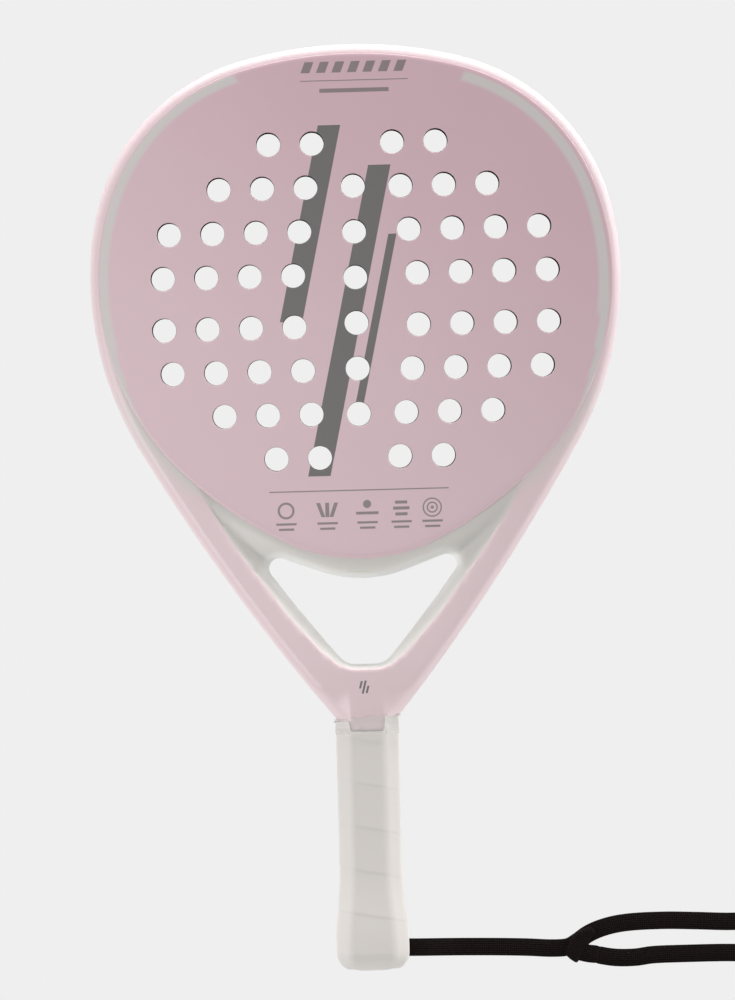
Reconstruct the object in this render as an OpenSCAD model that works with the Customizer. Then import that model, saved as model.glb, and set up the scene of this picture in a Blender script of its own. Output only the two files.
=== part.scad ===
// Padel racket lying on its rear face: +Y runs to the head's tip, +Z out of the front face, and the
// origin is under the middle of the racket's length, on the surface that it lies on.

/* [Overall] */
// Length from the head's tip to the butt
racket_len = 455; // [420:1:455]
// Depth from the rear face to the front face
frame_depth = 38; // [34:0.5:38]

/* [Head outline] */
// Distance from the tip to the middle of the hole pattern
tip_to_middle = 125.5; // [118:0.5:132]
// Radius of the outline at the tip
tip_r = 207; // [160:1:240]
// Half of the angle that the tip's curve turns
tip_turn = 15.5; // [12:0.5:18]
// Radius of the outline at each shoulder
shoulder_r = 100.6; // [92:0.2:110]
// Angle that each shoulder turns
shoulder_turn = 60; // [54:0.5:64]
// Radius of the outline at the widest place
side_r = 128; // [110:1:150]
// Angle that the widest place turns
side_turn = 10.3; // [6:0.1:14]
// Radius of the outline below the widest place
flank_r = 165; // [145:1:185]
// Angle that the flank turns
flank_turn = 34.4; // [30:0.2:38]
// Radius of the long outward bow of each arm
arm_r = 1047; // [700:1:1400]
// Radius of the hollow where an arm turns into the handle
neck_r = 12; // [8:0.5:20]

/* [Frame tube] */
// Width of the tube around the head
tube_w = 17; // [14:0.5:19]
// Width of the tube where the arm reaches the handle
arm_w = 21; // [19:0.5:23]
// Radius of the tube's two outer edges
rim_r = 5; // [3:0.5:7]
// Radius of the tube's two inner edges
bore_edge_r = 2.5; // [2.2:0.1:4]
// Wall of the tube
tube_wall = 1.6; // [1.2:0.1:2]
// Wall of the bladder that stays in the tube
bladder_wall = 0.5; // [0.4:0.1:0.8]

/* [Faces and core] */
// Thickness of each face skin
skin_t = 1.2; // [0.8:0.1:1.6]
// Width of frame that shows outside each face
rim_w = 4.5; // [3.5:0.5:6]
// Radius of the face's edge at its sides
face_side_r = 130; // [124:1:138]
// Radius of the face's edge above the bridge's ends
face_flank_r = 201; // [170:1:230]
// Lap of each face over the bridge
face_lap = 10; // [8:0.5:12]
// Diameter of the holes through the head
hole_d = 12; // [9:0.5:13]
// Distance between neighbouring holes in a row
hole_pitch = 21.3; // [20:0.1:22]
// Distance between rows
row_pitch = 21.5; // [20:0.1:23]
// Distance between the two middle rows
middle_pitch = 25.3; // [23:0.1:27]
// Distance from the middle to a middle row's first hole
first_hole = 30.5; // [28:0.5:32]
// How much nearer the first hole moves from one row to the next
row_step = 3.6; // [2:0.1:5]
// Distance between the holes of the centre column
column_pitch = 22.4; // [21:0.1:24]

/* [Throat] */
// Angle along an arm's bow to the throat's upper corner
corner_at = 4.75; // [4.5:0.05:5]
// Radius of the throat's upper corners
corner_r = 5; // [4:0.5:7]
// Slope of the bridge's lower edge towards the corners
bridge_slope = 20; // [14:1:24]
// Radius of the bridge's lower edge in the middle
bridge_r = 60; // [50:1:80]
// Half width of the throat's flat foot
throat_foot = 9.6; // [7:0.2:11]
// Distance from the bridge's edge to its hollow
bridge_wall = 3; // [2.5:0.1:4]
// Width of the hollow in the bridge
bridge_hollow = 12; // [10:0.5:13]

/* [Handle] */
// Width of the bare handle
handle_w = 25.8; // [24:0.2:28]
// Depth of the bare handle
handle_d = 29.4; // [28:0.2:30]
// Width of the bare handle's four slanting edges
handle_edge = 5.4; // [4.5:0.1:6]
// Gap between the tube's two legs
leg_gap = 3; // [2:0.2:5]
// Depth of the tube's legs in the handle
leg_d = 21; // [18:0.5:22]
// Thickness of the double-sided tape under the grip
adhesive_t = 0.2; // [0.2:0.05:0.3]
// Thickness of the cushioned base grip
base_grip_t = 1.6; // [1.2:0.1:2]
// Thickness of the overgrip
overgrip_t = 0.6; // [0.4:0.1:0.8]
// Bare neck between the end of the arms' hollow and the grip
neck_bare = 1.2; // [0.4:0.1:4]
// Length of the clear finishing tape
tape_len = 10; // [8:0.5:14]
// Thickness of the clear finishing tape
tape_t = 0.3; // [0.2:0.05:0.5]
// Slope of the finishing tape's upper edge
tape_slope = 4; // [0:0.5:6]

/* [Butt] */
// How far the butt cap flares past the bare handle on each side
flare = 2.4; // [1.8:0.1:2.6]
// Length of the flare
flare_len = 34; // [28:1:40]
// Radius of the butt's rounded end
butt_r = 9; // [7:0.5:10]
// Room for the stopper knot under the end of the handle
knot_room = 15; // [13:0.5:18]
// Thickness of the butt cap's end wall
cap_end = 3; // [2.5:0.1:4]
// Width of the ledge in the cap that the end of the handle rests on
cap_ledge = 1.5; // [1:0.1:2]
// Distance from the butt to the middle of the cord's slot
slot_y = 10.5; // [9.5:0.1:11]
// Height of the middle of the cord's slot above the rear face
slot_z = 9.5; // [9:0.1:10]
// Wire of the staples
staple_wire = 0.9; // [0.7:0.1:1.1]

/* [Wrist cord] */
// Width of the flat cord
cord_w = 8.7; // [8:0.1:9]
// Thickness of the flat cord
cord_t = 2.8; // [2.4:0.1:3]

/* [Hidden] */

arc_step = 4;            // degrees from one point of the outline to the next
bond = 0.1;              // room for adhesive between pieces that are glued
neck_len = 24;           // length over which the tube's depth falls off towards the neck
knot_fit = 0.4;          // room around the cord in its slot
past = 1;                // how far a cut runs past what it cuts
arm_step = 1.2;          // degrees from one point of an arm's bow to the next
foot_turn = 2;           // degrees of each arm's bow, at its foot, that have closer points

mid_z = frame_depth / 2;
tube_h = frame_depth / 2 - skin_t;      // half the depth of the tube around the head
tip_y = racket_len / 2;
butt_y = -racket_len / 2;
middle_y = tip_y - tip_to_middle;
handle_a = handle_w / 2;
handle_b = handle_d / 2;
wrap_t = adhesive_t + base_grip_t + overgrip_t;
handle_end_y = butt_y + cap_end + knot_room;

// ---- outlines as chains of tangent arcs -------------------------------------------------------
// A pose is [x, y, heading]; a heading of 0 runs along +X and turns clockwise as it grows.
function turned(p, r, a) =
    [p.x + r * (sin(p.z + a) - sin(p.z)), p.y + r * (cos(p.z + a) - cos(p.z)), p.z + a];
function arc_run(p, r, a, step) =
    let (n = max(2, round(abs(a) / step))) [for (k = [1 : n]) turned(p, r, a * k / n)];
function chain(p, arcs, i = 0) =
    i == len(arcs) ? [] : concat(arc_run(p, arcs[i][0], arcs[i][1], arcs[i][2]),
                                 chain(turned(p, arcs[i][0], arcs[i][1]), arcs, i + 1));
function inward(p, d) = [p.x - d * sin(p.z), p.y - d * cos(p.z)];
function flat(poses) = [for (p = poses) [p.x, p.y]];
// The points of a right half and their mirror images, with those on the axis once.
function both(points) = concat(points,
    [for (i = [len(points) - 1 : -1 : 0]) if (points[i].x > 0.01) [-points[i].x, points[i].y]]);

tip = [0, tip_y, 0];
head_arcs = [[tip_r, tip_turn, arc_step], [shoulder_r, shoulder_turn, arc_step],
             [side_r, side_turn, arc_step], [flank_r, flank_turn, arc_step]];
head_run = chain(tip, head_arcs);
arm_start = head_run[len(head_run) - 1];
// The arm turns until its hollow at the neck ends flush with the handle's side.
arm_heading = 180 - asin((handle_a - arm_start.x + arm_r * sin(arm_start.z) + neck_r) / (arm_r + neck_r));
arm_turn = arm_heading - arm_start.z;
arm_run = chain(arm_start, [[arm_r, arm_turn - foot_turn, arm_step], [arm_r, foot_turn, foot_turn / 8]]);
arm_end = arm_run[len(arm_run) - 1];
neck_run = arc_run(arm_end, -neck_r, 90 - arm_heading, 8);
neck_end = neck_run[len(neck_run) - 1];
grip_top_y = neck_end.y - neck_bare;

// ---- the frame tube's stations: [pose, width, half depth] -------------------------------------
leg_inner = leg_gap / 2;
function arm_share(p) = min(1, max(0, (arm_start.y - p.y) / (arm_start.y - arm_end.y)));
function tube_width(p) = min(tube_w + (arm_w - tube_w) * arm_share(p), (p.x - leg_inner) / sin(p.z));
neck_h = handle_b + adhesive_t;          // half depth of the tube where the grip begins
neck_top_y = arm_end.y + neck_len;
leg_top_y = neck_end.y - leg_gap;
function mix(a, b, t) = a + (b - a) * min(1, max(0, t));
function tube_depth(y) = y > grip_top_y
    ? mix(neck_h, tube_h, (y - grip_top_y) / (neck_top_y - grip_top_y))
    : mix(leg_d / 2, neck_h, (y - leg_top_y) / (grip_top_y - leg_top_y));
function station(p) = [p, p.z < 60 ? tube_w : tube_width(p), tube_depth(p.y)];
leg_end_y = handle_end_y + bond;
leg_run = [for (y = [leg_top_y, leg_end_y]) [handle_a, y, 90]];
right_stations = [for (p = concat([tip], head_run, arm_run, neck_run, leg_run)) station(p)];

// Section of the tube, as [inward, up], with an outer and an inner edge radius.
function corner(u, z, r, from, n) =
    [for (k = [0 : n]) let (a = from + 90 * k / n) [u + r * cos(a), z + r * sin(a)]];
function section(w, h, d, ro, ri) =
    let (n = d > 0 ? 1 : 2)
    concat(corner(d + ro, -h + d + ro, ro, 180, n), corner(w - d - ri, -h + d + ri, ri, 270, 1),
           corner(w - d - ri, h - d - ri, ri, 0, 1), corner(d + ro, h - d - ro, ro, 90, n));
function ring(s, d, side) =
    [for (q = section(s[1], s[2], d, max(rim_r - d, 0.8), max(bore_edge_r - d, 0.4)))
        let (xy = inward(s[0], q.x)) [side * xy.x, xy.y, mid_z + q.y]];
// The stations with their last one, at the leg's end, moved down by "by".
function leg_moved(by) =
    let (n = len(right_stations), e = right_stations[n - 1])
    [for (i = [0 : n - 1]) i < n - 1 ? right_stations[i] : [[e[0].x, e[0].y - by, e[0].z], e[1], e[2]]];
function tube_rings(d, by) =
    let (st = leg_moved(by), n = len(st))
    concat([for (i = [n - 1 : -1 : 1]) ring(st[i], d, -1)], [for (s = st) ring(s, d, 1)]);

// A solid through rings of equal length, closed at both ends.
module lofted(rings) {
    n = len(rings[0]);
    m = len(rings);
    polyhedron(
        points = [for (r = rings) each r],
        faces = concat(
            [[for (i = [n - 1 : -1 : 0]) i]],
            [for (k = [0 : m - 2], i = [0 : n - 1]) each
                let (a = k * n + i, b = k * n + (i + 1) % n) [[a, b + n, a + n], [a, b, b + n]]],
            [[for (i = [0 : n - 1]) (m - 1) * n + i]]));
}

module frame_tube() {
    color("mistyrose") difference() {
        lofted(tube_rings(0, 0));
        lofted(tube_rings(tube_wall, past));
    }
}

module frame_bladder() {
    color("lightblue") difference() {
        lofted(tube_rings(tube_wall + bond, -past));
        lofted(tube_rings(tube_wall + bond + bladder_wall, past));
    }
}

// ---- faces, core and bridge -------------------------------------------------------------------
// Half of the face's edge; "lap" moves it inwards.
face_shoulder_turn = shoulder_turn - 4.3;
face_side_turn = 65.4;
face_flank_turn = 16.7;
function face_half(lap) =
    let (top = [0, tip_y - rim_w - lap, 0],
         sides = chain(top, [[tip_r - rim_w - lap, tip_turn, arc_step],
                             [shoulder_r - rim_w - lap, face_shoulder_turn, arc_step],
                             [face_side_r - lap, face_side_turn, arc_step],
                             [face_flank_r - lap, face_flank_turn, arc_step]]),
         last = sides[len(sides) - 1])
    concat([top], sides, arc_run(last, last.x / sin(last.z), 180 - last.z, arc_step));
function face_edge(lap) = both(flat(face_half(lap)));

// The throat's corner circle touches the arm's inner wall where the arm has turned by corner_at.
corner_pose = turned(arm_start, arm_r, corner_at);
corner_w = tube_width(corner_pose);
corner_c = inward(corner_pose, corner_w + corner_r);
slope_touch = corner_c + corner_r * [-sin(bridge_slope), cos(bridge_slope)];
bridge_c_y = slope_touch.y + bridge_r * cos(bridge_slope)
    - (slope_touch.x - bridge_r * sin(bridge_slope)) * tan(bridge_slope);
// Half of the throat's upper edge, from the middle to the arm, moved up by d.
function throat_edge(d) = concat(
    [for (k = [0 : 6]) let (a = bridge_slope * k / 6)
        [(bridge_r - d) * sin(a), bridge_c_y - (bridge_r - d) * cos(a)]],
    [for (k = [0 : 8]) let (a = mix(90 + bridge_slope, 90 - corner_pose.z, k / 8), r = corner_r + d)
        [corner_c.x + r * cos(a), corner_c.y + r * sin(a)]]);

function wall_points(low, high) =
    [for (s = right_stations) if (s[0].y < high && s[0].y > low) inward(s[0], s[1] + bond)];
wall_low = corner_pose.y + 2;
head_inner = both(concat([inward(tip, tube_w + bond)], wall_points(wall_low, tip_y - past)));
horn_y = middle_y - 50;                  // where the bridge's horns have run out between core and tube
bridge_outline = both(concat(wall_points(wall_low, horn_y), [for (i = [14 : -1 : 0]) throat_edge(0)[i]]));
inner_h = tube_h - bond / 2;

module slab(height) translate([0, 0, mid_z - height / 2]) linear_extrude(height) children();

// The hole pattern: eight rows either side of the centre column, and the column itself.
module hole_pattern(d) {
    for (row = [0 : 3], up = [-1, 1], side = [-1, 1], k = [0 : 3 - max(0, row - 1)])
        translate([side * (first_hole - row * row_step + k * hole_pitch),
                   middle_y + up * (middle_pitch / 2 + row * row_pitch), -past])
            cylinder(h = frame_depth + 2 * past, d = d, $fn = 48);
    for (k = [0 : 2], up = [-1, 1])
        translate([0, middle_y + up * (k + 0.5) * column_pitch, -past])
            cylinder(h = frame_depth + 2 * past, d = d, $fn = 48);
}

module core_foam() {
    color("#1c1a1b") difference() {
        slab(2 * inner_h) intersection() {
            polygon(head_inner);
            polygon(face_edge(face_lap + bond));
        }
        hole_pattern(hole_d);
    }
}

module face_skin(z) {
    difference() {
        translate([0, 0, z]) linear_extrude(skin_t) polygon(face_edge(0));
        hole_pattern(hole_d);
    }
}

module front_face() { color("thistle") face_skin(frame_depth - skin_t); }

module rear_face() { color("thistle") face_skin(0); }

// The bridge's hollow: a band that follows its lower edge, with "gap" left free all round.
module bridge_band(gap) {
    low = throat_edge(bridge_wall + gap);
    high = throat_edge(bridge_wall + bridge_hollow - gap);
    last = 7;
    half = concat([for (i = [0 : last]) high[i]], [for (i = [last : -1 : 0]) low[i]]);
    polygon(concat(half, [for (i = [2 * last + 1 : -1 : 1]) if (half[i].x > 0.01) [-half[i].x, half[i].y]]));
}

module throat_bridge() {
    color("gainsboro") difference() {
        slab(2 * inner_h) difference() {
            polygon(bridge_outline);
            polygon(face_edge(face_lap));
        }
        slab(2 * (inner_h - bridge_wall)) bridge_band(0);
    }
}

module bridge_foam() {
    color("khaki") slab(2 * (inner_h - bridge_wall - bond)) bridge_band(bond);
}

// The wedge that closes the foot of the throat between the two arms.
arm_walls = [for (s = right_stations) if (s[0].z > 100 && s[0].y > leg_top_y) inward(s[0], s[1] + bond)];
wedge_side = concat([[throat_foot, lookup(throat_foot, arm_walls)]],
                    [for (q = arm_walls) if (q.x < throat_foot - 0.5) q]);
module neck_wedge() {
    color("mistyrose") slab(2 * neck_h) polygon(both(wedge_side));
}

// ---- handle -----------------------------------------------------------------------------------
// An octagon of half width a and half depth b, with slanting edges c wide, all moved out by t.
function edge_c(t) = handle_edge + t * (2 - sqrt(2));
function octagon(a, b, c) =
    [[a - c, b], [a, b - c], [a, c - b], [a - c, -b], [c - a, -b], [-a, c - b], [-a, b - c], [c - a, b]];
function toward(p, q, d) = p + (q - p) * min(d / norm(q - p), 0.35);
function softened(points, d) = let (n = len(points)) [for (i = [0 : n - 1]) each
    let (p = points[i], q = toward(p, points[(i + n - 1) % n], d), s = toward(p, points[(i + 1) % n], d))
        [q, (q + s + p) / 3, s]];

module along_y(from, to) translate([0, from, mid_z]) rotate([-90, 0, 0]) linear_extrude(to - from) children();

module leg_shape(d) for (side = [-1, 1])
    polygon([for (q = section(handle_a - leg_inner, leg_d / 2, -d, rim_r + d, bore_edge_r + d))
        [side * (handle_a - q.x), q.y]]);

pallet_top_y = leg_top_y - bond;
module pallet(side) {
    along_y(handle_end_y, pallet_top_y) intersection() {
        difference() {
            polygon(softened(octagon(handle_a, handle_b, handle_edge), edge_soft));
            leg_shape(bond);
            square([leg_gap + 2 * bore_edge_r, leg_d + 2 * bond], center = true);
        }
        translate([-handle_a, side > 0 ? -handle_b : bond]) square([handle_w, handle_b - bond]);
    }
}

module front_pallet() { color("burlywood") pallet(1); }

module rear_pallet() { color("burlywood") pallet(-1); }

module handle_core() {
    color("wheat") along_y(handle_end_y, pallet_top_y)
        square([leg_gap - 2 * bond, leg_d], center = true);
}

// The handle's swelling along its length: how far the wrapped shape stands outside the bare one.
cap_top_y = butt_y + flare_len;
swell_depth = 0.6;       // share of the flare that the handle's front and back take
top_swell = 0.35;        // how far the grip stands out at its upper end, where its wraps start
top_swell_len = 8;
edge_soft = 1.6;         // how far each edge of the wrapped octagon is rounded
function swell(y) = y > grip_top_y - top_swell_len
    ? top_swell * (y - grip_top_y + top_swell_len) / top_swell_len
    : y > cap_top_y ? 0
    : flare * pow(sin(90 * min(1, (cap_top_y - y) / (flare_len - butt_r))), 2);
function end_pull(y) = y > butt_y + butt_r ? 0
    : butt_r - sqrt(max(0, butt_r * butt_r - pow(butt_y + butt_r - y, 2)));
end_bare = 0.9;          // how much of the cap's end the wraps leave bare
grip_ys = concat([grip_top_y, grip_top_y - top_swell_len / 2, grip_top_y - top_swell_len],
                 [(grip_top_y + cap_top_y) / 2],
                 [for (k = [0 : 5]) mix(cap_top_y, butt_y + butt_r, k / 5)],
                 [for (k = [1 : 5]) butt_y + butt_r - (butt_r - end_bare) * sin(90 * k / 5)]);
function handle_ring(y, t, pull) =
    let (o = t - pull * end_pull(y), w = swell(y))
    [for (q = softened(octagon(handle_a + o + w, handle_b + o + w * swell_depth, edge_c(o)), edge_soft))
        [q.x, y, mid_z + q.y]];
function wrap_rings(t, ys) = [for (y = ys) handle_ring(y, t, 1)];
function stretched(ys, by) = [for (i = [0 : len(ys) - 1]) ys[i] + (i == 0 ? by : i == len(ys) - 1 ? -by : 0)];

module cord_slot(room) {
    translate([handle_a / 2, butt_y + slot_y - cord_w / 2 - room, slot_z - cord_t / 2 - room])
        cube([handle_a, cord_w + 2 * room, cord_t + 2 * room]);
}

module wrap(inner, outer) {
    difference() {
        lofted(wrap_rings(outer, grip_ys));
        lofted(wrap_rings(inner, stretched(grip_ys, past / 2)));
        cord_slot(knot_fit);
    }
}

module grip_adhesive() {
    ys = [grip_top_y - 10, cap_top_y + bond];
    color("ivory") difference() {
        lofted([for (y = ys) handle_ring(y, adhesive_t, 0)]);
        lofted([for (y = stretched(ys, past)) handle_ring(y, 0, 0)]);
    }
}

module base_grip() { color("white") wrap(adhesive_t, adhesive_t + base_grip_t); }

module overgrip() { color("whitesmoke") wrap(adhesive_t + base_grip_t, wrap_t); }

// The tape lies on the end of the grip and closes up onto the neck above it.
neck_widths = [for (s = right_stations) if (s[0].z > 80) [s[0].y, s[0].x]];
function tape_ring(y, at, t) =
    let (a = max(lookup(y, neck_widths) + bond, handle_a + wrap_t + top_swell + bond),
         b = max(tube_depth(y), handle_b + wrap_t + top_swell * swell_depth) + bond,
         c = mix(edge_c(wrap_t), rim_r * (2 - sqrt(2)), (y - grip_top_y) / (neck_end.y - grip_top_y)))
    [for (q = softened(octagon(a + t, b + t, c), edge_soft)) [q.x, at, mid_z + q.y]];
module finishing_tape() {
    ys = [for (k = [4 : -1 : -1]) grip_top_y + k * tape_len / 4];
    cuts = stretched(ys, past);
    color("white", 0.5) difference() {
        lofted([for (y = ys) tape_ring(y, y, tape_t)]);
        lofted([for (i = [0 : len(ys) - 1]) tape_ring(ys[i], cuts[i], 0)]);
        translate([0, grip_top_y + tape_len - handle_w * sin(tape_slope) / 2, -past])
            rotate([0, 0, tape_slope]) translate([-handle_w, -bond, 0])
                cube([2 * handle_w, tape_len, frame_depth + 2 * past]);
    }
}

module butt_cap() {
    ys = concat([for (y = grip_ys) if (y <= cap_top_y) y], [butt_y]);
    color("white") difference() {
        lofted([for (y = ys) handle_ring(y, adhesive_t - bond, 1)]);
        along_y(handle_end_y - bond, cap_top_y + past)
            polygon(octagon(handle_a + bond, handle_b + bond, edge_c(bond)));
        along_y(butt_y + cap_end, handle_end_y)
            polygon(octagon(handle_a - cap_ledge, handle_b - cap_ledge, edge_c(-cap_ledge)));
        cord_slot(knot_fit);
    }
}

staple_w = 8;
staple_leg = 4;
// A staple driven in along -Z, with its back centred on the origin.
module staple() {
    for (side = [-1, 1])
        translate([side * (staple_w - staple_wire) / 2 - staple_wire / 2, -staple_wire / 2, -staple_leg])
            cube([staple_wire, staple_wire, staple_leg]);
    translate([-staple_w / 2, -staple_wire / 2, -staple_wire / 2]) cube([staple_w, staple_wire, staple_wire]);
}

module cap_staples() {
    y = (handle_end_y + cap_top_y) / 2 - staple_wire;
    cap_face = handle_b + adhesive_t - bond + swell(y) * swell_depth;
    color("silver") for (side = [0, 180])
        translate([0, y, mid_z]) rotate([0, side, 0]) translate([0, 0, cap_face - staple_wire / 2]) staple();
}

module grip_staple() {
    color("silver") translate([0, cap_top_y + staple_leg, mid_z + handle_b]) staple();
}

// ---- wrist cord -------------------------------------------------------------------------------
// Middle of the cord: from the stopper knot inside the cap, out of the slot and down to the surface,
// along it to the hitch, round the loop and back to the hitch.
lie = cord_t / 2;
cord_route = [
    [7, -217, 9.5], [13, -217, 9.5], [19, -217.2, 9.2], [26, -217.4, 7.4], [33, -217.6, 4.4],
    [40, -217.8, 2.1], [48, -218, lie], [62, -218.4, lie], [76, -219, lie], [88, -219.8, lie],
    [96, -219.4, lie], [101, -216.8, lie], [106, -213.4, lie], [112, -210.8, lie], [120, -208.8, lie],
    [130, -207.8, lie], [145, -207.6, lie], [160, -208.2, lie], [177, -209, lie], [192, -208.4, lie],
    [206, -205.2, lie], [218, -201, lie], [229, -198.6, lie], [240, -200.4, lie], [248, -206.4, lie],
    [252, -215, lie], [250, -224.4, lie], [243, -231.4, lie], [233, -234.4, lie], [222, -233.4, lie],
    [209, -229.6, lie], [194, -226, lie], [177, -224.4, lie], [152, -224.2, lie], [138, -224.4, lie],
    [129, -225.4, lie], [119, -225.2, lie], [109, -223.4, lie]];
cord_last = len(cord_route) - 1;
// The flat cord keeps its wide side level.
function cord_ring(i) =
    let (p = cord_route[i], d = cord_route[min(i + 1, cord_last)] - cord_route[max(i - 1, 0)],
         side = [d.y, -d.x, 0] / norm([d.x, d.y]))
    [for (k = [0 : 9]) p + side * cord_w / 2 * cos(36 * k) + [0, 0, cord_t / 2 * sin(36 * k)]];

module wrist_cord() {
    color("#1a1618") lofted([for (i = [0 : cord_last]) cord_ring(i)]);
}

module torus(ring, tube) rotate_extrude($fn = 48) translate([ring, 0]) circle(d = tube, $fn = 24);

// The turns of the cord round itself where the loop is tied.
hitch_place = [98, -219.6, 3.2];
module cord_hitch() {
    color("#1a1618") translate(hitch_place) rotate([0, 0, 20]) intersection() {
        union() {
            rotate([0, 90, 0]) torus(cord_w / 2, cord_t + 1);
            translate([cord_w / 2, -1, 0]) rotate([0, 90, 25]) torus(cord_w / 2, cord_t + 1);
        }
        translate([-2 * cord_w, -2 * cord_w, -cord_t]) cube([4 * cord_w, 4 * cord_w, 2 * cord_w]);
    }
}

// The knot that stops the cord from pulling out of the cap.
module cord_stopper() {
    color("#1a1618") translate([cord_w / 2, butt_y + slot_y, slot_z + cord_t])
        rotate([0, 90, 0]) torus(3, cord_w / 2);
}

frame_tube();
frame_bladder();
throat_bridge();
bridge_foam();
neck_wedge();
core_foam();
front_face();
rear_face();
handle_core();
front_pallet();
rear_pallet();
grip_adhesive();
base_grip();
overgrip();
finishing_tape();
butt_cap();
cap_staples();
grip_staple();
wrist_cord();
cord_hitch();
cord_stopper();
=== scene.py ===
import math

import bpy
import numpy as np
from mathutils import Matrix, Vector
from mathutils.geometry import delaunay_2d_cdt


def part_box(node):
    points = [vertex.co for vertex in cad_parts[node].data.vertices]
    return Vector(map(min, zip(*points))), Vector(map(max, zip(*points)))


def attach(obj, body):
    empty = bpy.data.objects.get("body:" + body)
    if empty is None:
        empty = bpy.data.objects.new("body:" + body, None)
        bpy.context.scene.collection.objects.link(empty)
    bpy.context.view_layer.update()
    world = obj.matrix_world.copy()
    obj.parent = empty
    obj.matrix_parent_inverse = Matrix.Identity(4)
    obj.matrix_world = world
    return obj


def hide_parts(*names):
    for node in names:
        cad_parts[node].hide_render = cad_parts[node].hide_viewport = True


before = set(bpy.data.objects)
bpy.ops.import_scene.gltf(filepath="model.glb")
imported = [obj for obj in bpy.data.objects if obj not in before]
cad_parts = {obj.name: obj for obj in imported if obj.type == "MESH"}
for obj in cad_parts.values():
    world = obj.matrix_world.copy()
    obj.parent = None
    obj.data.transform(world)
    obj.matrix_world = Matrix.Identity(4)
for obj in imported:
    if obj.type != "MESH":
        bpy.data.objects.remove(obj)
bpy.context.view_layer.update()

# Shapes are drawn in millimetres, in the frame's own axes, and scaled to metres as each piece is made.
MM = 0.001


def box_mm(node):
    """A CAD node's lowest and highest corner, in millimetres."""
    low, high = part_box(node)
    return np.array(low) / MM, np.array(high) / MM


TUBE_LOW, TUBE_HIGH = box_mm("frame_tube")
FACE_LOW, FACE_HIGH = box_mm("front_face")
TIP_Y = TUBE_HIGH[1]
LEG_END_Y = TUBE_LOW[1]
BUTT_Y = box_mm("butt_cap")[0][1]
TOP_Z = FACE_HIGH[2]
MID_Z = TOP_Z / 2
# From the tip to the middle of the hole pattern.
MIDDLE_Y = TIP_Y - 125.5
# The wrap's edge laps a little past the end of its CAD solid.
GRIP_TOP_Y = box_mm("overgrip")[1][1] + 1.7
# Half of the bare handle's width and depth, and the thickness of the wraps on it.
HANDLE_A = 12.9
HANDLE_B = 14.7
WRAP_T = 2.4

# ---- camera, floor and light ---------------------------------------------------------------------

VIEW_DISTANCE = 7150
VIEW_HEIGHT = 491.7
VIEW_FROM = (-14, 56)
VIEW_AIM = (3.1, 3.6)
ROLL = 1.53
FLOOR_HALF = 4
FLOOR_Z = -0.0006
FLOOR_GLOW = 0.863
HORIZON_LIGHT = 2.5
OVERHEAD_LIGHT = 0.13


def add_object(name, data):
    obj = bpy.data.objects.new(name, data)
    bpy.context.scene.collection.objects.link(obj)
    return obj


def make_camera():
    """A long lens that looks down on the front face from a little above its middle."""
    data = bpy.data.cameras.new("view")
    data.sensor_width = 36
    data.lens = data.sensor_width * (VIEW_DISTANCE - MID_Z) / VIEW_HEIGHT
    data.clip_end = 40
    camera = add_object("view", data)
    place = Vector((*VIEW_FROM, VIEW_DISTANCE))
    back = (place - Vector((*VIEW_AIM, MID_Z))).normalized()
    lean = math.radians(ROLL)
    right = Vector((math.cos(lean), -math.sin(lean), 0))
    right = (right - back * right.dot(back)).normalized()
    up = back.cross(right)
    rows = [[right[i], up[i], back[i], place[i] * MM] for i in range(3)]
    camera.matrix_world = Matrix(rows + [[0, 0, 0, 1]])
    bpy.context.scene.camera = camera


def softbox(name, place, aim, size, power):
    """A large rectangular lamp at "place" that faces "aim"; sizes are in metres."""
    data = bpy.data.lights.new(name, "AREA")
    data.shape = "RECTANGLE"
    data.size, data.size_y = size
    data.energy = power
    lamp = add_object(name, data)
    lamp.location = place
    lamp.rotation_euler = (Vector(aim) - Vector(place)).to_track_quat("-Z", "Y").to_euler()


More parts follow.
